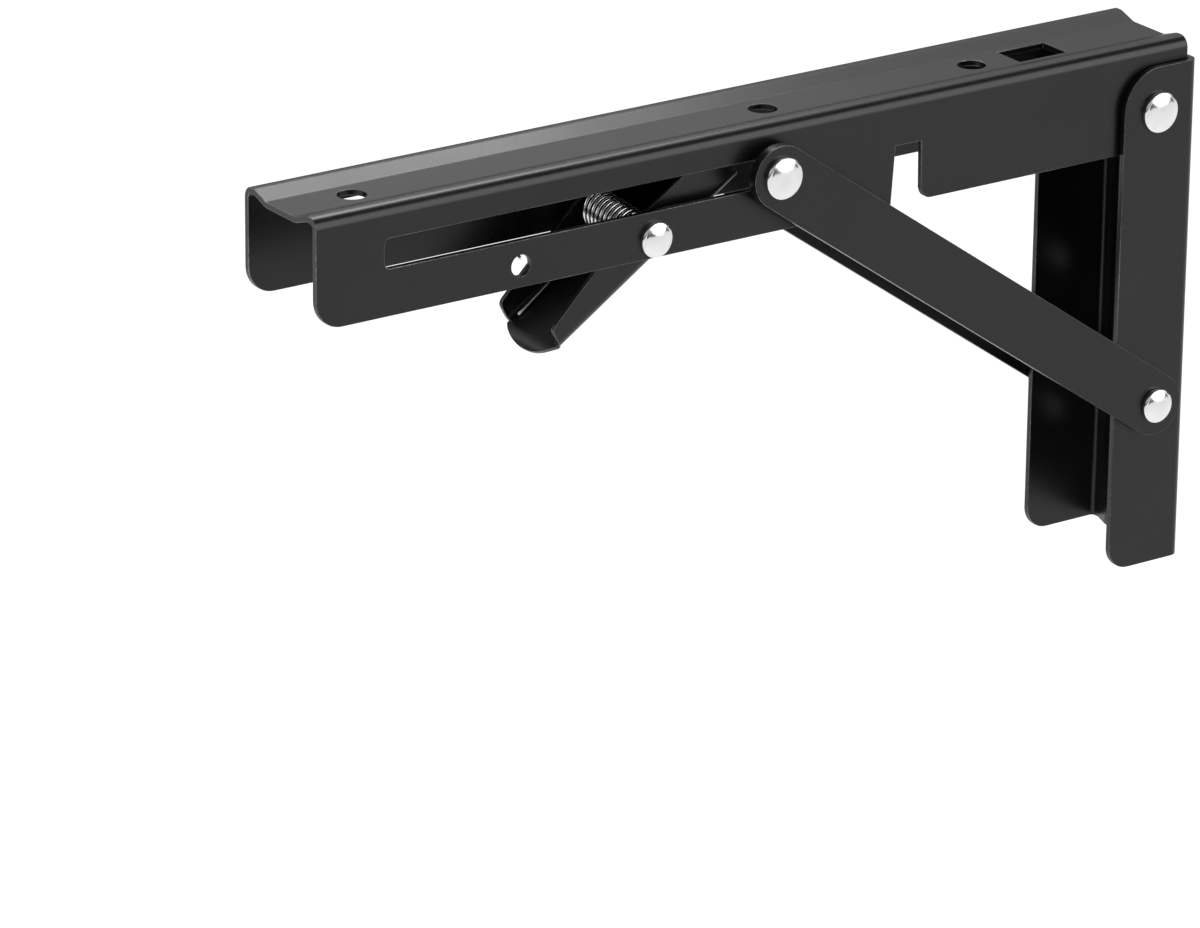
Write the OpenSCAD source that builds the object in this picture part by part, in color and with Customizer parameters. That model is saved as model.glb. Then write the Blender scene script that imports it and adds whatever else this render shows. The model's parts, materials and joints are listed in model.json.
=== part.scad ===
// Folding shelf bracket: a channel arm hinged in a wall rail, with two brace bars,
// a slide pin in the arm's long slots and a sprung release lever that locks it.
// Millimetres. X is the width, +Y points into the wall, Z is up.
// The origin is the middle of the wall screws, on the side of the rail's groove floor
// that faces the wall.
// The bracket is drawn open, with the arm level.

// Which piece to draw

/* [Arm] */
// Length of the arm from its back end to its free end
arm_length = 250;  // [230:0.5:300]
// Outer width of the arm over its two flanges
arm_width = 30.2;  // [28:0.1:36]
// Height of the arm from its top ridges to the lower edge
arm_height = 26.7;  // [25:0.1:32]
// Sheet thickness of the arm
arm_sheet = 1.5;  // [1:0.1:2]
// Outer bend radius between the arm's top and its flanges
arm_bend = 2.8;  // [2:0.1:4]
// Corner radius at the free end of the flanges
nose_radius = 7;  // [3:0.5:10]

/* [Top groove] */
// Width of the flat ridge beside each bend
ridge_flat = 1.3;  // [0.8:0.1:2]
// Width of the slope from the ridge to the groove floor
groove_slope = 5;  // [3:0.1:6]
// Depth of the groove below the ridges
groove_depth = 1.7;  // [0.8:0.1:2.5]
// Bend radius on the outer side of each groove corner
groove_bend = 3;  // [2:0.1:4]

/* [Holes in the arm] */
// Diameter of the shelf screw holes
shelf_hole = 7;  // [5:0.1:8]
// Free end to the front screw hole
front_hole_inset = 19.3;  // [15:0.1:26]
// Back end to the middle screw hole
middle_hole = 115.9;  // [105:0.1:125]
// Back end to the rear screw hole
rear_hole = 54.3;  // [50:0.1:60]
// Back end to the middle of the square window
window_place = 36.1;  // [30:0.1:40]
// Length of the window along the arm
window_length = 14;  // [10:0.5:16]
// Width of the window across the arm
window_width = 9;  // [7:0.5:10]
// Diameter of the small hole through the right flange, where the spring hooks in
hook_hole = 5.2;  // [4:0.1:7]
// Free end to the small hole
hook_hole_inset = 55.6;  // [52:0.1:58]
// Lower edge to the middle of the small hole
hook_hole_rise = 5.3;  // [4.5:0.1:6]

/* [Slot and notch] */
// Height of the slot that the slide pin runs in
slot_height = 7.2;  // [6:0.1:8]
// Top of the arm to the middle of the slot
slot_drop = 11.6;  // [11:0.1:13]
// Spare length of the slot past the pin at each end of its travel
slot_spare = 4;  // [0.5:0.1:5]
// Corner radius of the slot
slot_corner = 1.5;  // [0.5:0.1:3]
// Free height of the notch above the foot rivet when folded
notch_headroom = 2.2;  // [0.5:0.1:4]
// Gap between the notch and the foot rivet on the free-end side
notch_front_gap = 0.5;  // [0.3:0.1:1.5]
// Gap between the notch and the foot rivet on the hinge side
notch_back_gap = 2.4;  // [1.5:0.1:4]

/* [Rail] */
// Height of the wall rail
rail_length = 129;  // [120:0.5:160]
// Depth of the rail from the wall to its front edge
rail_depth = 22.3;  // [20:0.1:24]
// Sheet thickness of the rail
rail_sheet = 1.5;  // [1:0.1:2]
// Outer bend radius of the rail
rail_bend = 2.5;  // [2:0.1:3]
// Top of the rail below the top of the arm
rail_drop = 5.3;  // [4:0.1:7]
// Radius of the rail's upper front corners
rail_top_radius = 10.5;  // [5:0.5:12]
// Radius of the rail's lower front corners
rail_foot_radius = 6;  // [2:0.5:10]
// Diameter of the wall screw holes
wall_hole = 6;  // [4.5:0.1:7]
// Distance between neighbouring wall screw holes
wall_hole_pitch = 40;  // [30:1:44]
// Gap on each side between the arm and the rail
side_play = 0.55;  // [0.4:0.05:1]
// Gap between the arm and the inside of the rail's back
back_play = 0.4;  // [0.3:0.1:1]

/* [Linkage] */
// Hinge to the back end and to the lower edge of the arm
hinge_edge = 10;  // [9:0.1:12]
// Hinge down to the foot rivet
foot_drop = 74.8;  // [70:0.1:85]
// Hinge out to the slide pin when the bracket is open
pin_reach = 114.4;  // [105:0.1:120]
// Width of a brace bar
brace_width = 15.5;  // [14:0.1:18]
// Thickness of a brace bar
brace_sheet = 2.5;  // [2:0.1:3]
// Gap between a brace bar and the rail
brace_play = 0.45;  // [0.35:0.05:1]

/* [Rivets] */
// Shank diameter of the hinge rivet
hinge_shank = 6;  // [5:0.1:7]
// Shank diameter of the foot rivet
foot_shank = 5;  // [4:0.1:6]
// Diameter of the slide pin in the slot
slide_pin = 6.6;  // [5:0.1:7]
// Shank diameter of the lever rivet
lever_shank = 5;  // [4:0.1:5.6]
// Head diameter on the hinge and slide rivets
big_head = 10.2;  // [9:0.1:12]
// Head diameter on the foot and lever rivets
small_head = 8.6;  // [8:0.1:9.4]
// Height of a rivet head
head_height = 2.1;  // [1.5:0.1:2.2]
// Height of the straight rim under a head's dome
head_rim = 1;  // [0.4:0.1:1.2]
// Radial clearance of every turning joint
turn_fit = 0.05;  // [0.02:0.01:0.1]
// Outer diameter of the slide spacer washer
slide_washer = 10;  // [8:0.1:10.6]
// Outer diameter of the hinge and foot washers
pivot_washer = 12;  // [10:0.5:14]
// Side gap left beside every washer
washer_play = 0.1;  // [0.05:0.05:0.2]

/* [Release lever] */
// Slide pin back to the lever's pivot
lever_back = 32.6;  // [31:0.1:36]
// Lower edge of the arm up to the lever's pivot
lever_rise = 4.7;  // [4.65:0.05:6]
// Slope of the lever against the arm, in degrees
lever_tilt = 33.6;  // [30:0.1:37]
// Gap on each side between the lever and the arm
lever_side_play = 2.2;  // [0.8:0.1:2.6]
// Sheet thickness of the lever
lever_sheet = 1.2;  // [0.8:0.1:1.5]
// Outer bend radius of the lever
lever_bend = 2.8;  // [1.6:0.1:3.4]
// Pivot to the outer face of the lever's web
lever_web = 7.2;  // [6.8:0.1:7.6]
// Pivot to the upper edge of the lever's side plates
lever_crown = 4.7;  // [4:0.1:5.5]
// Pivot to the end of the side plates at the finger end
finger_reach = 33;  // [30:0.1:36]
// Pivot down to the side plates' upper corner at the finger end
finger_drop = 1;  // [0:0.1:2]
// Bend radius of the finger lip
lip_radius = 4;  // [3:0.1:6]
// Angle that the finger lip turns out by
lip_angle = 48;  // [35:1:60]
// Radius of the lip's edge, seen from the web's side
lip_round = 15.3;  // [13:0.1:20]
// Gap between the lever's nose and the slide pin
lock_gap = 3.4;  // [3:0.1:5]

/* [Spring] */
// Wire diameter of the torsion spring
wire = 0.9;  // [0.7:0.05:1.1]
// Turns of the torsion spring
spring_turns = 10;  // [6:1:11]
// Distance between neighbouring turns
spring_pitch = 1.6;  // [1.3:0.1:1.7]
// Wall of the sleeve inside the spring
sleeve_wall = 0.5;  // [0.4:0.1:0.6]
// Gap between the sleeve and the spring
sleeve_play = 1.05;  // [1:0.05:1.2]
// Height that the spring's left end sits above the sleeve's middle, and its right end below
spring_lift = 0.8;  // [0:0.1:0.9]
// Length of the spring's left leg, which lies on the lever's web
web_leg = 31;  // [20:0.5:32]

/* [Hidden] */
$fn = 64;
cut = 0.5;
bend_steps = 6;

black = [0.12, 0.12, 0.125];
black_b = [0.2, 0.2, 0.21];
zinc = [0.8, 0.81, 0.83];

// places in the row's frame
arm_half = arm_width / 2;
arm_top = rail_length / 2 + rail_drop;
wall_y = groove_depth;
arm_back = wall_y - rail_sheet - back_play;
arm_low = arm_top - arm_height;
hinge_y = arm_back - hinge_edge;
hinge_z = arm_low + hinge_edge;
foot_z = hinge_z - foot_drop;
pin_y = hinge_y - pin_reach;
pin_z = arm_top - slot_drop;
lever_y = pin_y - lever_back;
lever_z = arm_low + lever_rise;

// the linkage: how far the pin travels when the arm folds by a right angle
slot_over_hinge = pin_z - hinge_z;
brace_span = norm([pin_reach, foot_drop + slot_over_hinge]);
pin_folded = foot_drop + sqrt(pow(brace_span, 2) - pow(slot_over_hinge, 2));
brace_tilt = atan2(foot_drop + slot_over_hinge, pin_reach);

// layers across the width
rail_inner = arm_half + side_play;
rail_half = rail_inner + rail_sheet;
brace_inner = rail_half + brace_play;
brace_outer = brace_inner + brace_sheet;
lever_half = arm_half - arm_sheet - lever_side_play;
lever_width = 2 * lever_half;
lever_inner = lever_half - lever_sheet;

// the lever's nose points at the slide pin
nose_reach = norm([lever_back, pin_z - lever_z]) - slide_pin / 2 - lock_gap;
sleeve_radius = lever_shank / 2 + sleeve_wall;
coil_radius = sleeve_radius + sleeve_play + wire / 2;

// the torsion spring: its left leg lies on the web, its right leg hooks into the small hole
spring_gap = 0.05;
web_leg_fall = lever_web - lever_sheet - wire / 2 - spring_gap + spring_lift * cos(lever_tilt) - coil_radius;
web_leg_slope = asin(web_leg_fall / web_leg);
hook_y = arm_back + hook_hole_inset - arm_length - lever_y;
hook_z = arm_top - arm_height + hook_hole_rise + hook_hole / 2 - wire / 2 - 3 * spring_gap - lever_z;
hook_leg_slope = atan((coil_radius - spring_lift - hook_z) / -hook_y);
coil_first = 270 + lever_tilt + web_leg_slope;
coil_last = 90 + hook_leg_slope + 360 * (spring_turns + 1);
coil_half = spring_pitch * (coil_last - coil_first) / 720;

function unit(v) = v / norm(v);
function left(v) = [-v[1], v[0]];

// the point where two edges meet after both move sideways by d
function mitre(a, b, c, d) =
    let (n1 = left(unit(b - a)), n2 = left(unit(c - b)))
    b + d * (n1 + n2) / (1 + n1 * n2);

// the signed turn at corner b
function turn(a, b, c) = let (u = b - a, w = c - b) u[0] * w[1] - u[1] * w[0];

// points on the arc that rounds corner b with radius r
function arc_at(a, b, c, r) =
    let (
        u = unit(a - b),
        w = unit(c - b),
        half = acos(u * w) / 2,
        mid = b + unit(u + w) * r / sin(half),
        s = b + u * r / tan(half) - mid,
        e = b + w * r / tan(half) - mid,
        from = atan2(s[1], s[0]),
        raw = atan2(e[1], e[0]) - from,
        sweep = raw > 180 ? raw - 360 : raw < -180 ? raw + 360 : raw
    )
    [for (i = [0 : bend_steps])
        mid + r * [cos(from + sweep * i / bend_steps), sin(from + sweep * i / bend_steps)]];

// an open path with its inner corners rounded
function rounded(path, radii) = concat(
    [path[0]],
    [for (i = [1 : len(path) - 2])
        for (p = arc_at(path[i - 1], path[i], path[i + 1], radii[i])) p],
    [path[len(path) - 1]]
);

// the same path moved sideways by d, corners mitred
function moved(path, d) = concat(
    [path[0] + d * left(unit(path[1] - path[0]))],
    [for (i = [1 : len(path) - 2]) mitre(path[i - 1], path[i], path[i + 1], d)],
    [path[len(path) - 1] + d * left(unit(path[len(path) - 1] - path[len(path) - 2]))]
);

function moved_radii(path, radii, d) = [
    for (i = [0 : len(path) - 1])
        i == 0 || i == len(path) - 1
            ? 0
            : radii[i] - d * sign(turn(path[i - 1], path[i], path[i + 1]))
];

function backwards(list) = [for (i = [len(list) - 1 : -1 : 0]) list[i]];

// half of a channel's outer line, from the flange edge to the groove floor
function channel_half(half, depth, bend) = [
    [half, -depth],
    [half, 0],
    [half - bend - ridge_flat, 0],
    [half - bend - ridge_flat - groove_slope, -groove_depth]
];

function mirrored(path) = [for (p = backwards(path)) [-p[0], p[1]]];

// cross-section of a folded channel with ridges and a groove along its back
module channel_section(half, depth, sheet, bend) {
    side = channel_half(half, depth, bend);
    path = concat(side, mirrored(side));
    radii = [0, bend, groove_bend, groove_bend, groove_bend, groove_bend, bend, 0];
    inner = moved(path, sheet);
    inner_radii = moved_radii(path, radii, sheet);
    polygon(concat(rounded(path, radii), backwards(rounded(inner, inner_radii))));
}

// a closed outline with every corner rounded by its own radius
module rounded_outline(path, radii) {
    n = len(path);
    polygon([
        for (i = [0 : n - 1])
            for (p = arc_at(path[(i + n - 1) % n], path[i], path[(i + 1) % n], radii[i])) p
    ]);
}

// turns a flat (Y, Z) drawing into a plate centred on X
module across(width) {
    rotate([90, 0, 90])
        linear_extrude(width, center = true)
            children();
}

// a pin along X between two places
module x_pin(r, x0, x1) {
    translate([x0, 0, 0])
        rotate([0, 90, 0])
            cylinder(r = r, h = x1 - x0);
}

module x_ring(r_in, r_out, x0, x1) {
    difference() {
        x_pin(r_out, x0, x1);
        x_pin(r_in, x0 - cut, x1 + cut);
    }
}

// domed rivet head standing on the plane X = 0 and pointing to +X
module rivet_head(diameter) {
    r = diameter / 2;
    dome = head_height - head_rim;
    ball = (r * r + dome * dome) / (2 * dome);
    rotate([0, 90, 0])
        rotate_extrude()
            union() {
                square([r, head_rim]);
                intersection() {
                    translate([0, head_height - ball])
                        circle(ball);
                    square([r, head_height]);
                }
            }
}

// the same head on both sides of a piece, at a distance x from the middle
module head_pair(diameter, x) {
    translate([x, 0, 0])
        rivet_head(diameter);
    mirror([1, 0, 0])
        translate([x, 0, 0])
            rivet_head(diameter);
}

module at_hinge() {
    translate([0, hinge_y, hinge_z])
        children();
}

module at_foot() {
    translate([0, hinge_y, foot_z])
        children();
}

module at_pin() {
    translate([0, pin_y, pin_z])
        children();
}

module at_lever() {
    translate([0, lever_y, lever_z])
        children();
}

// the arm's own corner: back end, top of the ridges
module in_arm() {
    translate([0, arm_back, arm_top])
        children();
}

// what rounds a lower corner off, with the corner at the origin and s = 1 or -1
module corner_cut(r, s) {
    difference() {
        translate([s > 0 ? 0 : -r, 0])
            square(r);
        translate([s * r, r])
            circle(r);
    }
}

// (Y, Z) outline of the slot
module slot_outline() {
    y0 = -(hinge_edge + pin_folded + slide_pin / 2 + slot_spare);
    y1 = -(hinge_edge + pin_reach - slide_pin / 2 - slot_spare);
    z0 = -slot_drop - slot_height / 2;
    z1 = z0 + slot_height;
    translate([y0 + slot_corner, z0])
        square([y1 - y0 - 2 * slot_corner, slot_height]);
    translate([y0, z0 + slot_corner])
        square([y1 - y0, slot_height - 2 * slot_corner]);
    for (y = [y0 + slot_corner, y1 - slot_corner])
        for (z = [z0 + slot_corner, z1 - slot_corner])
            translate([y, z])
                circle(slot_corner);
}

// (Y, Z) outline of the notch that swallows the foot rivet
module notch_outline() {
    middle = -(hinge_edge + foot_drop);
    front = middle - foot_shank / 2 - notch_front_gap;
    back = middle + foot_shank / 2 + notch_back_gap;
    top = hinge_edge - arm_height + foot_shank / 2 + notch_headroom;
    polygon([
        [front - 1.1, -arm_height - cut],
        [front, top],
        [back - 0.3, top],
        [back, -arm_height - cut]
    ]);
    translate([back - 0.05, -arm_height])
        difference() {
            translate([-cut, -cut])
                square(3 + cut);
            translate([3, 3])
                circle(3);
        }
}

module shelf_arm() {
    color(black)
        in_arm()
            difference() {
                rotate([90, 0, 0])
                    linear_extrude(arm_length)
                        channel_section(arm_half, arm_height, arm_sheet, arm_bend);
                across(arm_width + 2)
                    union() {
                        translate([-arm_length, -arm_height])
                            corner_cut(nose_radius, 1);
                        translate([0, -arm_height])
                            corner_cut(hinge_edge, -1);
                        slot_outline();
                        notch_outline();
                    }
                translate([0, -hinge_edge, hinge_edge - arm_height])
                    x_pin(hinge_shank / 2 + turn_fit, -arm_half - 1, arm_half + 1);
                translate([0, lever_y - arm_back, lever_z - arm_top])
                    x_pin(lever_shank / 2, -arm_half - 1, arm_half + 1);
                translate([0, hook_hole_inset - arm_length, hook_hole_rise - arm_height])
                    x_pin(hook_hole / 2, 0, arm_half + 1);
                for (y = [front_hole_inset - arm_length, -middle_hole, -rear_hole])
                    translate([0, y, -groove_depth - arm_sheet - cut])
                        cylinder(d = shelf_hole, h = arm_sheet + 2 * cut);
                translate([-window_width / 2, -window_place - window_length / 2, -groove_depth - arm_sheet - cut])
                    cube([window_width, window_length, arm_sheet + 2 * cut]);
            }
}

module wall_rail() {
    color(black_b)
        difference() {
            translate([0, wall_y, -rail_length / 2])
                linear_extrude(rail_length)
                    channel_section(rail_half, rail_depth, rail_sheet, rail_bend);
            across(2 * rail_half + 2)
                union() {
                    translate([wall_y - rail_depth, -rail_length / 2])
                        corner_cut(rail_foot_radius, 1);
                    translate([wall_y - rail_depth, rail_length / 2])
                        mirror([0, 1])
                            corner_cut(rail_top_radius, 1);
                }
            at_hinge()
                x_pin(hinge_shank / 2, -rail_half - 1, rail_half + 1);
            at_foot()
                x_pin(foot_shank / 2, -rail_half - 1, rail_half + 1);
            for (i = [-1 : 1])
                translate([0, cut, i * wall_hole_pitch])
                    rotate([90, 0, 0])
                        cylinder(d = wall_hole, h = rail_sheet + 2 * cut);
        }
}

// a brace bar from the slide pin down to the foot rivet, on the side s
module brace(s) {
    color(black)
        at_pin()
            translate([s * (brace_inner + brace_sheet / 2), 0, 0])
                rotate([90, 0, 90])
                    linear_extrude(brace_sheet, center = true)
                        rotate(-brace_tilt)
                            difference() {
                                union() {
                                    circle(brace_width / 2);
                                    translate([brace_span, 0])
                                        circle(brace_width / 2);
                                    translate([0, -brace_width / 2])
                                        square([brace_span, brace_width]);
                                }
                                circle(slide_pin / 2);
                                translate([brace_span, 0])
                                    circle(foot_shank / 2 + turn_fit);
                            }
}

module brace_left() {
    brace(-1);
}

module brace_right() {
    brace(1);
}

// hinge rivet, fixed in the rail: the arm turns on its shank
module hinge_rivet() {
    color(zinc)
        at_hinge() {
            x_pin(hinge_shank / 2, -rail_half, rail_half);
            head_pair(big_head, rail_half);
        }
}

module hinge_washer_right() {
    color(zinc)
        at_hinge()
            x_ring(hinge_shank / 2, pivot_washer / 2, arm_half + washer_play, rail_inner);
}

module hinge_washer_left() {
    mirror([1, 0, 0])
        hinge_washer_right();
}

// foot rivet, fixed in the rail: the brace bars turn on its shank
module foot_rivet() {
    color(zinc)
        at_foot() {
            x_pin(foot_shank / 2, -brace_outer - washer_play, brace_outer + washer_play);
            head_pair(small_head, brace_outer + washer_play);
        }
}

module foot_washer_right() {
    color(zinc)
        at_foot()
            x_ring(foot_shank / 2, pivot_washer / 2, rail_half, brace_inner - washer_play);
}

module foot_washer_left() {
    mirror([1, 0, 0])
        foot_washer_right();
}

// outer half of the slide rivet: it is set in the brace bar and turns with it
module slide_rivet_right() {
    color(zinc)
        at_pin() {
            x_pin(slide_pin / 2, brace_inner, brace_outer);
            translate([brace_outer, 0, 0])
                rivet_head(big_head);
        }
}

module slide_rivet_left() {
    mirror([1, 0, 0])
        slide_rivet_right();
}

// inner half of the slide rivet: it runs along the arm's slot
module slide_pin_right() {
    color(zinc)
        at_pin()
            x_pin(slide_pin / 2, lever_half + 0.3, brace_inner - 0.3);
}

module slide_pin_left() {
    mirror([1, 0, 0])
        slide_pin_right();
}

module slide_washer_right() {
    color(zinc)
        at_pin()
            x_ring(slide_pin / 2, slide_washer / 2, arm_half + washer_play, brace_inner - 0.3);
}

module slide_washer_left() {
    mirror([1, 0, 0])
        slide_washer_right();
}

// side plate of the lever, seen square on: x runs towards the slide pin
module lever_plate() {
    top_end = nose_reach - 9;
    path = [
        [-finger_reach + 0.5, -lever_web - 1],
        [-finger_reach + 0.5, -lever_web + lever_sheet],
        [-finger_reach + 1, -finger_drop],
        [-4, lever_crown],
        [top_end, lever_crown],
        [nose_reach, -lever_web / 3],
        [nose_reach, -lever_web - 1]
    ];
    rounded_outline(path, [0.1, 1, 2, 8, 3, 3, 0.1]);
}

// U section of the lever, with its web below
module lever_section() {
    path = [
        [-lever_half, lever_crown + 1],
        [-lever_half, -lever_web],
        [lever_half, -lever_web],
        [lever_half, lever_crown + 1]
    ];
    radii = [0, lever_bend, lever_bend, 0];
    inner = moved(path, lever_sheet);
    inner_radii = moved_radii(path, radii, lever_sheet);
    polygon(concat(rounded(path, radii), backwards(rounded(inner, inner_radii))));
}

// the finger lip: the web carries on past the side plates and curls outwards
module lip() {
    inner = lip_radius;
    outer = lip_radius + lever_sheet;
    intersection() {
        translate([0, -finger_reach, -lever_web - lip_radius])
            across(lever_width - lever_bend)
                union() {
                    difference() {
                        circle(outer);
                        circle(inner);
                        translate([0, -2 * outer])
                            square(4 * outer);
                        rotate(180 + lip_angle)
                            translate([0, -2 * outer])
                                square(4 * outer);
                    }
                    translate([-0.01, inner])
                        square([1, lever_sheet]);
                }
        translate([0, -finger_reach, lever_sheet / 2 - lever_web])
            rotate([lip_angle / 2, 0, 0])
                translate([0, lip_round - (2 * lip_radius + lever_sheet) * sin(lip_angle / 2), 0])
                    cylinder(r = lip_round, h = 40, center = true);
    }
}

module release_lever() {
    color(black_b)
        at_lever()
            difference() {
                rotate([lever_tilt, 0, 0])
                    union() {
                        intersection() {
                            translate([0, nose_reach + 1, 0])
                                rotate([90, 0, 0])
                                    linear_extrude(nose_reach + finger_reach + 1)
                                        lever_section();
                            across(lever_width + 1)
                                lever_plate();
                        }
                        lip();
                    }
                x_pin(lever_shank / 2 + turn_fit, -lever_half - 1, lever_half + 1);
            }
}

module lever_rivet() {
    color(zinc)
        at_lever() {
            x_pin(lever_shank / 2, -arm_half, arm_half);
            head_pair(small_head, arm_half);
        }
}

module lever_sleeve() {
    color(zinc)
        at_lever()
            x_ring(lever_shank / 2, sleeve_radius, washer_play - lever_inner, lever_inner - washer_play);
}

// centre line of the torsion spring: the leg on the web, the turns, the leg to the hole
spring_steps = 16;

function coil_point(a) =
    let (x = spring_pitch * (a - coil_first) / 360 - coil_half)
    [x, coil_radius * cos(a), coil_radius * sin(a) - spring_lift * x / coil_half];

coil_count = floor((coil_last - coil_first) * spring_steps / 360);
coil_points = [for (i = [0 : coil_count])
    coil_point(coil_first + (coil_last - coil_first) * i / coil_count)];
hook_leg_way = [0, -cos(hook_leg_slope), -sin(hook_leg_slope)];
spring_line = concat(
    [coil_points[0] + web_leg * [0, sin(coil_first), -cos(coil_first)]],
    coil_points,
    [
        coil_points[coil_count] - hook_y / 3 * hook_leg_way,
        [arm_half - 2 * arm_sheet - 0.4, hook_y + 1.9, hook_z],
        [arm_half - 1.6 * arm_sheet, hook_y + 0.7, hook_z],
        [arm_half - arm_sheet, hook_y + 0.1, hook_z],
        [arm_half + 0.4, hook_y - 0.4, hook_z]
    ]
);

// a tube of eight sides along the line, its rings square to the line
module wire_along(line, d) {
    n = len(line);
    sides = 8;
    function tangent(i) = unit(line[min(i + 1, n - 1)] - line[max(i - 1, 0)]);
    function ring(i) =
        let (
            t = tangent(i),
            side = unit(cross(t, [1, 0, 0])),
            up = cross(side, t)
        )
        [for (k = [0 : sides - 1])
            line[i] + d / 2 * (cos(360 * k / sides) * side + sin(360 * k / sides) * up)];
    points = [for (i = [0 : n - 1]) for (p = ring(i)) p];
    walls = [
        for (i = [0 : n - 2])
            for (k = [0 : sides - 1])
                [i * sides + k, i * sides + (k + 1) % sides, (i + 1) * sides + (k + 1) % sides, (i + 1) * sides + k]
    ];
    caps = [
        [for (k = [sides - 1 : -1 : 0]) k],
        [for (k = [0 : sides - 1]) (n - 1) * sides + k]
    ];
    polyhedron(points, concat(walls, caps), convexity = 10);
}

module lever_spring() {
    color(zinc)
        at_lever()
            wire_along(spring_line, wire);
}

wall_rail();
shelf_arm();
brace_left();
brace_right();
release_lever();
hinge_rivet();
hinge_washer_left();
hinge_washer_right();
foot_rivet();
foot_washer_left();
foot_washer_right();
slide_rivet_left();
slide_rivet_right();
slide_pin_left();
slide_pin_right();
slide_washer_left();
slide_washer_right();
lever_rivet();
lever_sleeve();
lever_spring();
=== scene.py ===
import json
import math

import bmesh
import bpy
import numpy as np
from mathutils import Matrix, Vector


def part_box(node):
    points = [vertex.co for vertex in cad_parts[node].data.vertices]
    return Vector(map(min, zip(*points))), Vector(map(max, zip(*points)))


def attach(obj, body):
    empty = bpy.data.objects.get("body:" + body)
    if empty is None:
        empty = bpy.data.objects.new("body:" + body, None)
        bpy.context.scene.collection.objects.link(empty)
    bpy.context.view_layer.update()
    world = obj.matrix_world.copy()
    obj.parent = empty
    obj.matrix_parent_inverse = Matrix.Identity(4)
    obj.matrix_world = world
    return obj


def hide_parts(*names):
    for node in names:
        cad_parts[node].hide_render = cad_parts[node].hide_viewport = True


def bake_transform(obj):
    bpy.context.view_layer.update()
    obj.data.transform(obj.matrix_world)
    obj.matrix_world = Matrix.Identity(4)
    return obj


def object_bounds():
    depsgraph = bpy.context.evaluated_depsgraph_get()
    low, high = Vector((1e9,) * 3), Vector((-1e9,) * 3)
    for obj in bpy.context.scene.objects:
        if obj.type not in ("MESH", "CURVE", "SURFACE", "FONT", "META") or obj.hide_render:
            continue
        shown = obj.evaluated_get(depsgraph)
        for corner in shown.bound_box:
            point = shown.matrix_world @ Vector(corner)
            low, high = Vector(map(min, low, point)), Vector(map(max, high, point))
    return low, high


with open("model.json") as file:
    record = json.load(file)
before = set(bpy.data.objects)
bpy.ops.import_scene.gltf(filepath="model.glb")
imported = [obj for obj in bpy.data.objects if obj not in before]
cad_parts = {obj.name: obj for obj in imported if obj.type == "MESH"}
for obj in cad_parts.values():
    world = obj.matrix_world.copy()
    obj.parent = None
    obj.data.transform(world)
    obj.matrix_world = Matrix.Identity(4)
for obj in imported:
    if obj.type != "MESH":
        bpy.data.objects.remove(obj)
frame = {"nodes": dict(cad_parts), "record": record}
nodes = frame["nodes"]
cadLow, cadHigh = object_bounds()
bodyOf = {name: body for body, members in frame["record"]["behaviour"]["bodies"].items() for name in members}
print("frame loaded:", len(nodes), "nodes")


def place(tree, kind, **values):
    node = tree.nodes.new(kind)
    for key, value in values.items():
        setattr(node, key, value)
    return node


# a node group that takes a vector and some numbers, with their usual values, and puts out one number
def newGroup(name, numbers, output):
    group = bpy.data.node_groups.new(name, "ShaderNodeTree")
    group.interface.new_socket(name="Vector", in_out="INPUT", socket_type="NodeSocketVector")
    for label, value in numbers.items():
        socket = group.interface.new_socket(name=label, in_out="INPUT", socket_type="NodeSocketFloat")
        socket.default_value = value
    group.interface.new_socket(name=output, in_out="OUTPUT", socket_type="NodeSocketFloat")
    return group, group.nodes.new("NodeGroupInput"), group.nodes.new("NodeGroupOutput")


# inside a group: two patterns, each at its own scale, and the second mixed into the first by a share
def mixPatterns(group, start, end, first, second, numbers):
    firstScale, secondScale, share = numbers
    mix = place(group, "ShaderNodeMix", data_type="FLOAT")
    for (pattern, result), scale, side in ((first, firstScale, 2), (second, secondScale, 3)):
        group.links.new(start.outputs["Vector"], pattern.inputs["Vector"])
        group.links.new(start.outputs[scale], pattern.inputs["Scale"])
        group.links.new(pattern.outputs[result], mix.inputs[side])
    group.links.new(start.outputs[share], mix.inputs["Factor"])
    group.links.new(mix.outputs[0], end.inputs[0])
    return group


def noisePattern(group, detail):
    noise = place(group, "ShaderNodeTexNoise")
    noise.inputs["Detail"].default_value = detail
    return noise, "Fac"


def cellPattern(group, smoothness):
    cells = place(group, "ShaderNodeTexVoronoi", feature="SMOOTH_F1")
    cells.inputs["Smoothness"].default_value = smoothness
    return cells, "Distance"


# unevenness of a finish: broad drift in tone plus fine grain
def makeDriftGroup():
    numbers = {"Broad Scale": 40.0, "Fine Scale": 900.0, "Fine Share": 0.3}
    group, start, end = newGroup("surfaceDrift", numbers, "Mask")
    return mixPatterns(group, start, end, noisePattern(group, 3.0), noisePattern(group, 2.0), numbers)


# orange peel of a baked powder coat: soft round bumps and a finer ripple
def makePeelGroup():
    numbers = {"Peel Scale": 900.0, "Ripple Scale": 2600.0, "Ripple Share": 0.35}
    group, start, end = newGroup("orangePeel", numbers, "Height")
    return mixPatterns(group, start, end, cellPattern(group, 1.0), noisePattern(group, 2.0), numbers)


driftGroup = makeDriftGroup()
peelGroup = makePeelGroup()


def useGroup(tree, group, vector, values):
    node = place(tree, "ShaderNodeGroup", node_tree=group)
    tree.links.new(vector, node.inputs["Vector"])
    for key, value in values.items():
        node.inputs[key].default_value = value
    return node


def ramp(tree, source, stops):
    node = place(tree, "ShaderNodeValToRGB")
    tree.links.new(source, node.inputs["Fac"])
    elements = node.color_ramp.elements
    while len(elements) < len(stops):
        elements.new(0.5)
    for element, (where, colour) in zip(elements, stops):
        element.position = where
        element.color = (*colour, 1.0)
    return node


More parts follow.
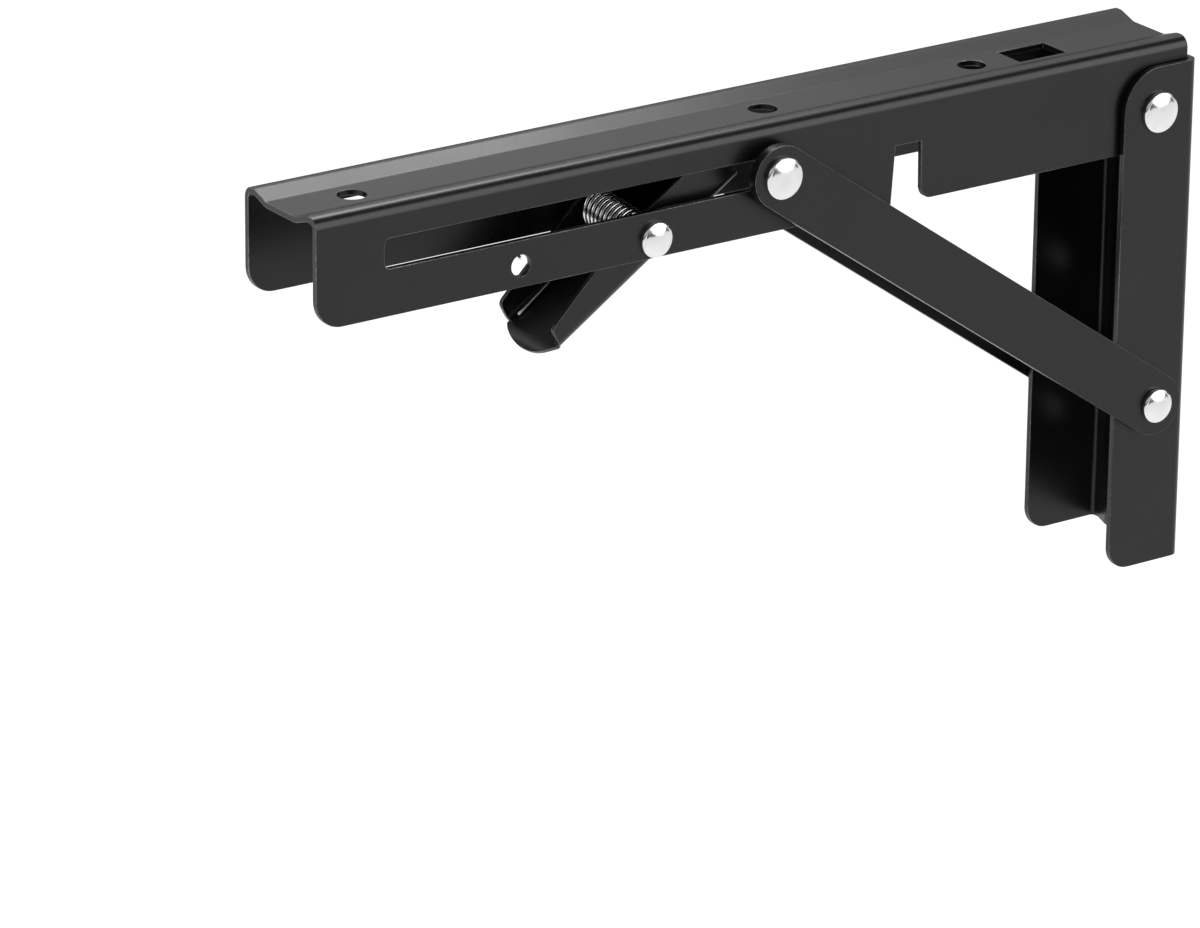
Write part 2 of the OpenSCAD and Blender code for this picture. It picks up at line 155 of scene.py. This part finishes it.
# a socket goes from one end to the other while the mask goes through its span
def follow(tree, mask, span, ends, socket):
    node = place(tree, "ShaderNodeMapRange")
    node.inputs["From Min"].default_value, node.inputs["From Max"].default_value = span
    node.inputs["To Min"].default_value, node.inputs["To Max"].default_value = ends
    tree.links.new(mask, node.inputs["Value"])
    tree.links.new(node.outputs["Result"], socket)


def newMaterial(name):
    material = bpy.data.materials.new(name)
    material.use_nodes = True
    return material, material.node_tree, material.node_tree.nodes["Principled BSDF"]


def objectSpace(tree):
    return place(tree, "ShaderNodeTexCoord").outputs["Object"]


# every finish of the bracket: its tone drifts between dark and pale over object space
def newFinish(name, look):
    material, tree, shader = newMaterial(name)
    mask = useGroup(tree, driftGroup, objectSpace(tree), look["drift"]).outputs["Mask"]
    low, high = look["span"]
    tone = ramp(tree, mask, [(low, look["dark"]), (high, look["pale"])])
    tree.links.new(tone.outputs["Color"], shader.inputs["Base Color"])
    return material, tree, shader, mask


coatLook = {"dark": (0.0022, 0.0022, 0.0024), "pale": (0.0095, 0.0095, 0.0097), "rough": (0.26, 0.34),
            "drift": {"Broad Scale": 28.0, "Fine Scale": 1400.0, "Fine Share": 0.4}, "span": (0.3, 0.7),
            "peel": {"Peel Scale": 750.0, "Ripple Scale": 2600.0, "Ripple Share": 0.3},
            "peelHeight": 0.00002, "peelStrength": 0.35, "refraction": 1.45}


def makeCoat(look):
    material, tree, shader, mask = newFinish("blackCoat", look)
    follow(tree, mask, look["span"], look["rough"], shader.inputs["Roughness"])
    peel = useGroup(tree, peelGroup, objectSpace(tree), look["peel"])
    bump = place(tree, "ShaderNodeBump")
    bump.inputs["Strength"].default_value = look["peelStrength"]
    bump.inputs["Distance"].default_value = look["peelHeight"]
    tree.links.new(peel.outputs["Height"], bump.inputs["Height"])
    tree.links.new(bump.outputs["Normal"], shader.inputs["Normal"])
    shader.inputs["IOR"].default_value = look["refraction"]
    return material


metalDrift = {"Broad Scale": 260.0, "Fine Scale": 3000.0, "Fine Share": 0.35}
zincLook = {"dark": (0.78, 0.78, 0.79), "pale": (0.94, 0.94, 0.94), "rough": (0.09, 0.17),
            "drift": metalDrift, "span": (0.3, 0.7)}
wireLook = {"dark": (0.8, 0.8, 0.8), "pale": (0.97, 0.97, 0.96), "rough": (0.13, 0.22),
            "drift": metalDrift, "span": (0.3, 0.7)}


def makeMetal(name, look):
    material, tree, shader, mask = newFinish(name, look)
    follow(tree, mask, look["span"], look["rough"], shader.inputs["Roughness"])
    shader.inputs["Metallic"].default_value = 1.0
    return material


# pale bare-steel tone of the cut edges: painted highlight lines along the edges
edgeHighlightLook = {"dark": (0.012, 0.012, 0.0125), "pale": (0.24, 0.24, 0.25), "metal": (0.1, 1.0), "rough": 0.36,
            "drift": {"Broad Scale": 26.0, "Fine Scale": 1500.0, "Fine Share": 0.35}, "span": (0.4, 0.66)}


# painted highlight on the cut edges: the bevel strips drift between dark coat and pale bare steel, so they show
# bright highlight lines
def makePaintedEdgeHighlight(look):
    material, tree, shader, mask = newFinish("paintedEdgeHighlight", look)
    follow(tree, mask, look["span"], look["metal"], shader.inputs["Metallic"])
    shader.inputs["Roughness"].default_value = look["rough"]
    return material


blackCoat = makeCoat(coatLook)
paintedEdgeHighlight = makePaintedEdgeHighlight(edgeHighlightLook)
zincPlate = makeMetal("zincPlate", zincLook)
springWire = makeMetal("springWire", wireLook)
print("finishes made")


def paint(piece, material):
    piece.data.materials.clear()
    piece.data.materials.append(material)


finishOf = {"black_coat": blackCoat, "zinc_plate": zincPlate, "spring_wire": springWire}
slotOf = {part["node"]: part["material_slot"] for part in frame["record"]["subparts"]}
for name, slotName in slotOf.items():
    for hold in nodes[name].material_slots:
        hold.material = finishOf[slotName]
print("nodes painted")


# a finished piece takes over from its CAD node: same body, and the finish of the node's slot
def standFor(piece, name):
    paint(piece, finishOf[slotOf[name]])
    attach(piece, bodyOf[name])
    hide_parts(name)
    return piece


# breakEdge is the small radius that stamping and coating leave on every cut edge
sheetLook = {"pieces": {"wall_rail": "wallRail", "shelf_arm": "shelfArm", "brace_left": "braceLeft",
                        "brace_right": "braceRight", "release_lever": "releaseLever"},
             "breakEdge": {"wall_rail": 0.00016, "shelf_arm": 0.0002, "brace_left": 0.0001,
                           "brace_right": 0.0001, "release_lever": 0.0001},
             "steps": 2, "fromAngle": 40.0, "mergeWithin": 0.000002, "flatWithin": 0.6}


# a merged copy of a sheet node, its coplanar triangles joined to plain faces, its cut edges broken
def makeSheet(name, label, look):
    mesh = nodes[name].data.copy()
    mesh.name = label
    shape = bmesh.new()
    shape.from_mesh(mesh)
    bmesh.ops.remove_doubles(shape, verts=shape.verts[:], dist=look["mergeWithin"])
    bmesh.ops.dissolve_limit(shape, angle_limit=math.radians(look["flatWithin"]),
                             verts=shape.verts[:], edges=shape.edges[:])
    shape.to_mesh(mesh)
    shape.free()
    if "custom_normal" in mesh.attributes:
        mesh.attributes.remove(mesh.attributes["custom_normal"])
    mesh.polygons.foreach_set("use_smooth", np.ones(len(mesh.polygons), bool))
    piece = bpy.data.objects.new(label, mesh)
    bpy.context.scene.collection.objects.link(piece)
    edge = piece.modifiers.new("brokenEdge", "BEVEL")
    edge.width = look["breakEdge"][name]
    edge.segments = look["steps"]
    edge.limit_method = "ANGLE"
    edge.angle_limit = math.radians(look["fromAngle"])
    edge.use_clamp_overlap = False
    edge.loop_slide = False
    # the bevel strips take the second finish, the painted edge highlight
    edge.material = 1
    flats = piece.modifiers.new("flatFirst", "WEIGHTED_NORMAL")
    flats.mode = "FACE_AREA"
    flats.keep_sharp = True
    standFor(piece, name)
    piece.data.materials.append(paintedEdgeHighlight)


for name, label in sheetLook["pieces"].items():
    makeSheet(name, label, sheetLook)
print("sheet pieces made:", len(sheetLook["pieces"]))


def addSurface(label, points, faces):
    mesh = bpy.data.meshes.new(label)
    mesh.from_pydata(points.tolist(), [], faces)
    mesh.update()
    mesh.polygons.foreach_set("use_smooth", np.ones(len(mesh.polygons), bool))
    piece = bpy.data.objects.new(label, mesh)
    bpy.context.scene.collection.objects.link(piece)
    return piece


# quads of a grid whose columns run round and close, its points numbered from first on, row by row;
# closedRows joins the last row to the first
def gridQuads(rows, columns, first=0, closedRows=False):
    i, j = np.meshgrid(np.arange(rows if closedRows else rows - 1), np.arange(columns), indexing="ij")
    k, l = (i + 1) % rows, (j + 1) % columns
    corners = [i * columns + j, k * columns + j, k * columns + l, i * columns + l]
    return (first + np.stack(corners, -1).reshape(-1, 4)).tolist()


# fans that close the two ends of such a grid onto the points startTip and endTip
def endFans(rows, columns, first, startTip, endTip):
    turn = np.arange(columns)
    after = (turn + 1) % columns
    last = first + (rows - 1) * columns
    startFan = np.stack([0 * turn + startTip, first + turn, first + after], 1)
    endFan = np.stack([0 * turn + endTip, last + after, last + turn], 1)
    return startFan.tolist() + endFan.tolist()


# angles of the points round a circle, its first point not repeated
def roundAngles(sides):
    return np.linspace(0, 2 * np.pi, sides, endpoint=False)


# an arc of radius r about (cx, cr), from angle a to angle b in degrees, as points (x, radius)
def arc(cx, cr, r, a, b, steps):
    t = np.radians(np.linspace(a, b, steps))
    return np.stack([cx + r * np.cos(t), cr + r * np.sin(t)], 1)


# lathed solid: point (u, v) = (x(u), r(u) cos v, r(u) sin v) about the line through the centre along X;
# the profile runs from the end at +X to the end at -X, and both its ends lie on the axis
def lathe(label, profile, centre, sides):
    profile = np.asarray(profile, float)
    v = roundAngles(sides)
    x, r = profile[1:-1, :1], profile[1:-1, 1:]
    rings = np.stack([x + 0 * v, r * np.cos(v), r * np.sin(v)], -1).reshape(-1, 3)
    tips = np.array([[profile[0, 0], 0, 0], [profile[-1, 0], 0, 0]])
    points = np.concatenate([tips, rings]) + np.array([0, *centre])
    rows = len(profile) - 2
    return addSurface(label, points, gridQuads(rows, sides, 2) + endFans(rows, sides, 2, 0, 1))


# lathed ring: the same surface, its profile a closed loop (x(u), r(u)) clear of the axis
def latheRing(label, loop, centre, sides):
    loop = np.asarray(loop, float)
    v = roundAngles(sides)
    rings = np.stack([loop[:, :1] + 0 * v, loop[:, 1:] * np.cos(v), loop[:, 1:] * np.sin(v)], -1)
    points = rings.reshape(-1, 3) + np.array([0, *centre])
    return addSurface(label, points, gridQuads(len(loop), sides, 0, True))


# ends of a round CAD node along X, the centre of its circle as (y, z), and its radius
def roundNode(name):
    low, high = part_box(name)
    return low.x, high.x, ((low.y + high.y) / 2, (low.z + high.z) / 2), (high.y - low.y) / 2


# lengths in metres, angles in degrees; domeReach is a share of the shoulder, the ring's values of the radius
rivetLook = {"headHeight": 0.0021, "domeEdge": 0.00118, "domeReach": 0.75, "domeSteps": 22,
             "ringAt": 0.84, "ringWidth": 0.025, "ringDepth": 0.00007,
             "shoulder": 0.00042, "shoulderSink": 62.0, "shoulderFrom": 55.0, "shoulderSteps": 6,
             "underEdge": 0.0002, "endEdge": 0.0003, "edgeSteps": 4, "sides": 72}
shankOf = {"hinge": 0.003, "foot": 0.0025, "slide": 0.0033, "lever": 0.0025}


# profile of a head on the plane x = 0 from its top out to the shank: a dome (x falls with the square of r),
# a faint ring from the setting tool, a rounded shoulder, a straight side and a small round below
def headProfile(radius, shank, look):
    s, u = look["shoulder"], look["underEdge"]
    r = np.linspace(0, radius - look["domeReach"] * s, look["domeSteps"])
    x = look["headHeight"] - (look["headHeight"] - look["domeEdge"]) * (r / radius) ** 2
    x = x - look["ringDepth"] * np.exp(-((r / radius - look["ringAt"]) / look["ringWidth"]) ** 2)
    dome = np.stack([x, r], 1)
    edge = x[-1] - s * math.sin(math.radians(look["shoulderSink"]))
    shoulder = arc(edge, radius - s, s, look["shoulderFrom"], 90, look["shoulderSteps"])[1:]
    under = arc(u, radius - u, u, 90, 180, look["edgeSteps"])
    return np.concatenate([dome, shoulder, under, [[0, shank]]])


# two heads and the shank between them
def makeThroughRivet(name, label, shank, look):
    _, end, centre, radius = roundNode(name)
    head = headProfile(radius, shank, look)
    seat = end - look["headHeight"]
    right = head + np.array([seat, 0])
    left = (head * np.array([-1, 1]) - np.array([seat, 0]))[::-1]
    standFor(lathe(label, np.concatenate([right, left]), centre, look["sides"]), name)


# one head and a short shank; side is +1 for the near half and -1 for the far one
def makeHalfRivet(name, label, shank, side, look):
    start, end, centre, radius = roundNode(name)
    outer, inner = (end, start) if side > 0 else (-start, -end)
    e = look["endEdge"]
    head = headProfile(radius, shank, look) + np.array([outer - look["headHeight"], 0])
    profile = np.concatenate([head, arc(inner + e, shank - e, e, 90, 180, look["edgeSteps"]), [[inner, 0]]])
    if side < 0:
        profile = (profile * np.array([-1, 1]))[::-1]
    standFor(lathe(label, profile, centre, look["sides"]), name)


# a plain pin with its two end edges rounded
def makePin(name, label, look):
    start, end, centre, r = roundNode(name)
    e, steps = look["endEdge"], look["edgeSteps"]
    profile = np.concatenate([[[end, 0]], arc(end - e, r - e, e, 0, 90, steps),
                              arc(start + e, r - e, e, 90, 180, steps), [[start, 0]]])
    standFor(lathe(label, profile, centre, look["sides"]), name)


washerLook = {"edge": 0.00012, "edgeSteps": 4, "sides": 64}
sleeveLook = {"edge": 0.0001, "edgeSteps": 4, "sides": 56}


# a flat ring with its four edges rounded
def makeRing(name, label, bore, look):
    start, end, centre, r = roundNode(name)
    e, steps = look["edge"], look["edgeSteps"]
    loop = np.concatenate([arc(end - e, r - e, e, 0, 90, steps),
                           arc(start + e, r - e, e, 90, 180, steps),
                           arc(start + e, bore + e, e, 180, 270, steps),
                           arc(end - e, bore + e, e, 270, 360, steps)])
    standFor(latheRing(label, loop, centre, look["sides"]), name)


for kind in ("hinge", "foot", "lever"):
    makeThroughRivet(kind + "_rivet", kind + "Rivet", shankOf[kind], rivetLook)
bothSides = (("right", "Near", 1), ("left", "Far", -1))
for side, label, way in bothSides:
    makeHalfRivet("slide_rivet_" + side, "slideRivet" + label, shankOf["slide"], way, rivetLook)
for side, label, way in bothSides:
    makePin("slide_pin_" + side, "slidePin" + label, rivetLook)
for kind in ("hinge", "foot", "slide"):
    for side, label, way in bothSides:
        makeRing(kind + "_washer_" + side, kind + "Washer" + label, shankOf[kind], washerLook)
makeRing("lever_sleeve", "leverSleeve", shankOf["lever"], sleeveLook)
print("rivets, pins and rings made")


# the spring's line, in millimetres and degrees about the lever's pivot (in metres), as in the part's source
springLook = {"pivot": (-0.1572, 0.0478), "wire": 0.9, "coilRadius": 4.5, "pitch": 1.6, "lift": 0.8,
              "firstAngle": 306.68, "lastAngle": 4051.685, "half": 8.322, "turnSteps": 40, "sides": 12,
              "webLeg": 31.0, "legStart": 0.6, "legSteps": 12, "hookY": -37.4, "hookZ": 2.6,
              "hookEnd": ((11.7, 1.9), (12.7, 0.7), (13.6, 0.1), (15.5, -0.4)), "hookRounds": 3,
              "capWidth": 0.75, "capRise": 0.3, "endTurn": 0.7}
metresPerMm = 0.001


# corner cutting: each corner of a line gives way to two points, a quarter and three quarters along
def cutCorners(line, rounds):
    for _ in range(rounds):
        cut = np.stack([0.75 * line[:-1] + 0.25 * line[1:], 0.25 * line[:-1] + 0.75 * line[1:]], 1)
        line = np.concatenate([line[:1], cut.reshape(-1, 3), line[-1:]])
    return line


# the turns are a helix about X: x = pitch * turns - half, y = R cos a, z = R sin a, sinking evenly by the lift;
# a straight leg runs off each end of it, and the right one bends out into the small hole
def springLine(look):
    first, last, radius, lift = (look[key] for key in ("firstAngle", "lastAngle", "coilRadius", "lift"))
    a = np.radians(np.linspace(first, last, int((last - first) / 360 * look["turnSteps"])))
    x = look["pitch"] * (np.degrees(a) - first) / 360 - look["half"]
    turns = np.stack([x, radius * np.cos(a), radius * np.sin(a) - lift * x / look["half"]], 1)
    legWay = np.array([0, math.sin(a[0]), -math.cos(a[0])])
    webLeg = turns[0] + np.linspace(look["webLeg"], look["legStart"], look["legSteps"])[:, None] * legWay
    fall = math.atan((radius - lift - look["hookZ"]) / -look["hookY"])
    hookWay = np.array([0, -math.cos(fall), -math.sin(fall)])
    bend = np.array([[hx, look["hookY"] + hy, look["hookZ"]] for hx, hy in look["hookEnd"]])
    tail = np.concatenate([turns[-1:] - look["hookY"] / 3 * hookWay, bend])
    return np.concatenate([webLeg, turns, cutCorners(tail, look["hookRounds"])])


# round wire carried along the line: a ring of points square to the line at each step, p = line + R (cos v side
# + sin v up), with a narrower ring and a tip beyond each end, which round it off
def makeWire(label, line, radius, look):
    way = np.gradient(line, axis=0)
    way /= np.linalg.norm(way, axis=1)[:, None]
    side = np.cross(way, [1.0, 0, 0])
    side /= np.linalg.norm(side, axis=1)[:, None]
    up = np.cross(side, way)
    v = roundAngles(look["sides"])[:, None]
    rings = line[:, None, :] + radius * (np.cos(v) * side[:, None, :] + np.sin(v) * up[:, None, :])
    width, rise = look["capWidth"], look["capRise"] * radius
    startRing = line[0] + width * (rings[0] - line[0]) - rise * way[0]
    endRing = line[-1] + width * (rings[-1] - line[-1]) + rise * way[-1]
    rings = np.concatenate([startRing[None], rings, endRing[None]])
    rows, sides = len(rings), look["sides"]
    points = np.concatenate([rings.reshape(-1, 3), [startRing.mean(0)], [endRing.mean(0)]])
    faces = gridQuads(rows, sides) + endFans(rows, sides, 0, rows * sides, rows * sides + 1)
    return addSurface(label, points, faces)


def makeSpring(look):
    line = springLine(look) * metresPerMm + np.array([0, *look["pivot"]])
    spring = makeWire("leverSpring", line, look["wire"] / 2 * metresPerMm, look)
    paint(spring, finishOf[slotOf["lever_spring"]])
    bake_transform(spring)
    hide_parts("lever_spring")


makeSpring(springLook)
print("spring wound")


floorLook = {"below": 0.30, "size": 9.0, "colour": (0.86, 0.86, 0.86), "rough": 0.9,
             "cameraLift": 0.6, "glossLift": 0.46}


# a wide white sheet below the bracket; its own light lifts it to white for the camera, and for reflections
def makeFloor(look):
    s = look["size"] / 2
    z = cadLow.z - look["below"]
    mesh = bpy.data.meshes.new("floor")
    mesh.from_pydata([(-s, -s, z), (s, -s, z), (s, s, z), (-s, s, z)], [], [(0, 1, 2, 3)])
    floor = bpy.data.objects.new("floor", mesh)
    bpy.context.scene.collection.objects.link(floor)
    material, tree, shader = newMaterial("floorPaper")
    shader.inputs["Base Color"].default_value = (*look["colour"], 1)
    shader.inputs["Roughness"].default_value = look["rough"]
    shader.inputs["Specular IOR Level"].default_value = 0.0
    shader.inputs["Emission Color"].default_value = (1, 1, 1, 1)
    path = place(tree, "ShaderNodeLightPath")
    seen = place(tree, "ShaderNodeMath", operation="MULTIPLY")
    seen.inputs[1].default_value = look["cameraLift"]
    lift = place(tree, "ShaderNodeMath", operation="MULTIPLY_ADD")
    lift.inputs[1].default_value = look["glossLift"]
    tree.links.new(path.outputs["Is Camera Ray"], seen.inputs[0])
    tree.links.new(path.outputs["Is Glossy Ray"], lift.inputs[0])
    tree.links.new(seen.outputs[0], lift.inputs[2])
    tree.links.new(lift.outputs[0], shader.inputs["Emission Strength"])
    paint(floor, material)


# bands are greys by height on the sky, boxEdge the cosines between which the soft box fades in
roomLook = {"softLight": 0.45, "white": 1.0,
            "boxWay": (0.767, 0.532, 0.35), "boxEdge": (0.87, 0.93), "boxGlow": 3.0,
            "bands": [(0.0, 0.10), (0.12, 0.14), (0.28, 0.58), (0.44, 0.58), (0.62, 0.14), (1.0, 0.2)]}


# the room in reflections: a dark band at the horizon, a softer grey above it and one round soft box;
# plain white to the camera, plain grey as soft light
def makeWorld(look):
    world = bpy.data.worlds.new("room")
    bpy.context.scene.world = world
    world.use_nodes = True
    tree = world.node_tree
    link = tree.links.new
    back = tree.nodes["Background"]
    back.inputs["Color"].default_value = (1, 1, 1, 1)
    way = place(tree, "ShaderNodeTexCoord")
    parts = place(tree, "ShaderNodeSeparateXYZ")
    link(way.outputs["Generated"], parts.inputs["Vector"])
    band = ramp(tree, parts.outputs["Z"], [(height, (grey, grey, grey)) for height, grey in look["bands"]])
    towards = place(tree, "ShaderNodeVectorMath", operation="DOT_PRODUCT")
    towards.inputs[1].default_value = Vector(look["boxWay"]).normalized()
    link(way.outputs["Generated"], towards.inputs[0])
    box = place(tree, "ShaderNodeMapRange", interpolation_type="SMOOTHSTEP")
    box.inputs["From Min"].default_value, box.inputs["From Max"].default_value = look["boxEdge"]
    box.inputs["To Max"].default_value = look["boxGlow"]
    link(towards.outputs["Value"], box.inputs["Value"])
    glow = place(tree, "ShaderNodeMath", operation="MAXIMUM")
    link(band.outputs["Color"], glow.inputs[0])
    link(box.outputs["Result"], glow.inputs[1])
    path = place(tree, "ShaderNodeLightPath")
    shiny = place(tree, "ShaderNodeMix", data_type="FLOAT")
    shiny.inputs[2].default_value = look["softLight"]
    link(path.outputs["Is Glossy Ray"], shiny.inputs["Factor"])
    link(glow.outputs[0], shiny.inputs[3])
    clear = place(tree, "ShaderNodeMath", operation="MAXIMUM")
    link(path.outputs["Is Camera Ray"], clear.inputs[0])
    link(path.outputs["Is Transmission Ray"], clear.inputs[1])
    mix = place(tree, "ShaderNodeMix", data_type="FLOAT")
    mix.inputs[3].default_value = look["white"]
    link(clear.outputs[0], mix.inputs["Factor"])
    link(shiny.outputs[0], mix.inputs[2])
    link(mix.outputs[0], back.inputs["Strength"])


lampLook = [
    {"name": "overheadBack", "at": (-0.75, 0.85, 1.35), "aim": (0, -0.13, 0.0), "size": 0.9, "power": 3.0},
    {"name": "frontLeft", "at": (-0.9, -1.5, 0.9), "aim": (0, -0.13, 0.0), "size": 1.0, "power": 6.0},
    {"name": "overSlope", "at": (-0.25, -0.01, 0.477), "aim": (0, -0.24, 0.07), "size": 0.25, "power": 1.0},
    {"name": "farSide", "at": (-0.92, 0.38, 0.5), "aim": (0, -0.24, 0.07), "size": 0.35, "power": 0.1},
]


def makeLamp(look):
    data = bpy.data.lights.new(look["name"], "AREA")
    data.shape = "SQUARE"
    data.size = look["size"]
    data.energy = look["power"]
    lamp = bpy.data.objects.new(look["name"], data)
    bpy.context.scene.collection.objects.link(lamp)
    lamp.location = look["at"]
    lamp.rotation_euler = (Vector(look["aim"]) - Vector(look["at"])).to_track_quat("-Z", "Y").to_euler()


makeFloor(floorLook)
makeWorld(roomLook)
for one in lampLook:
    makeLamp(one)
print("room lit")


viewLook = {"azimuth": 55.2834, "elevation": 21.016, "distance": 1.7455457, "roll": 0.6045,
            "target": (0.0, -0.1615908, -0.0120092), "focalPixels": 7400.84, "imageWidth": 1200.0,
            "sensor": 36.0, "clip": (0.05, 50.0)}


# ahead = (-sin a cos e, cos a cos e, -sin e) at azimuth a and elevation e, with right level, then both turned
# about the line of sight by the roll
def makeCamera(look):
    a, e, r = (math.radians(look[key]) for key in ("azimuth", "elevation", "roll"))
    ahead = Vector((-math.sin(a) * math.cos(e), math.cos(a) * math.cos(e), -math.sin(e)))
    right = Vector((math.cos(a), math.sin(a), 0.0))
    up = right.cross(ahead)
    turnedRight = right * math.cos(r) + up * math.sin(r)
    turnedUp = up * math.cos(r) - right * math.sin(r)
    data = bpy.data.cameras.new("photoView")
    data.sensor_fit = "HORIZONTAL"
    data.sensor_width = look["sensor"]
    data.lens = look["sensor"] * look["focalPixels"] / look["imageWidth"]
    data.clip_start, data.clip_end = look["clip"]
    camera = bpy.data.objects.new("photoView", data)
    bpy.context.scene.collection.objects.link(camera)
    turn = Matrix((turnedRight, turnedUp, -ahead)).transposed()
    camera.matrix_world = Matrix.Translation(Vector(look["target"]) - ahead * look["distance"]) @ turn.to_4x4()
    bpy.context.scene.camera = camera


makeCamera(viewLook)
bpy.context.scene.view_settings.view_transform = "Standard"
print("camera set")
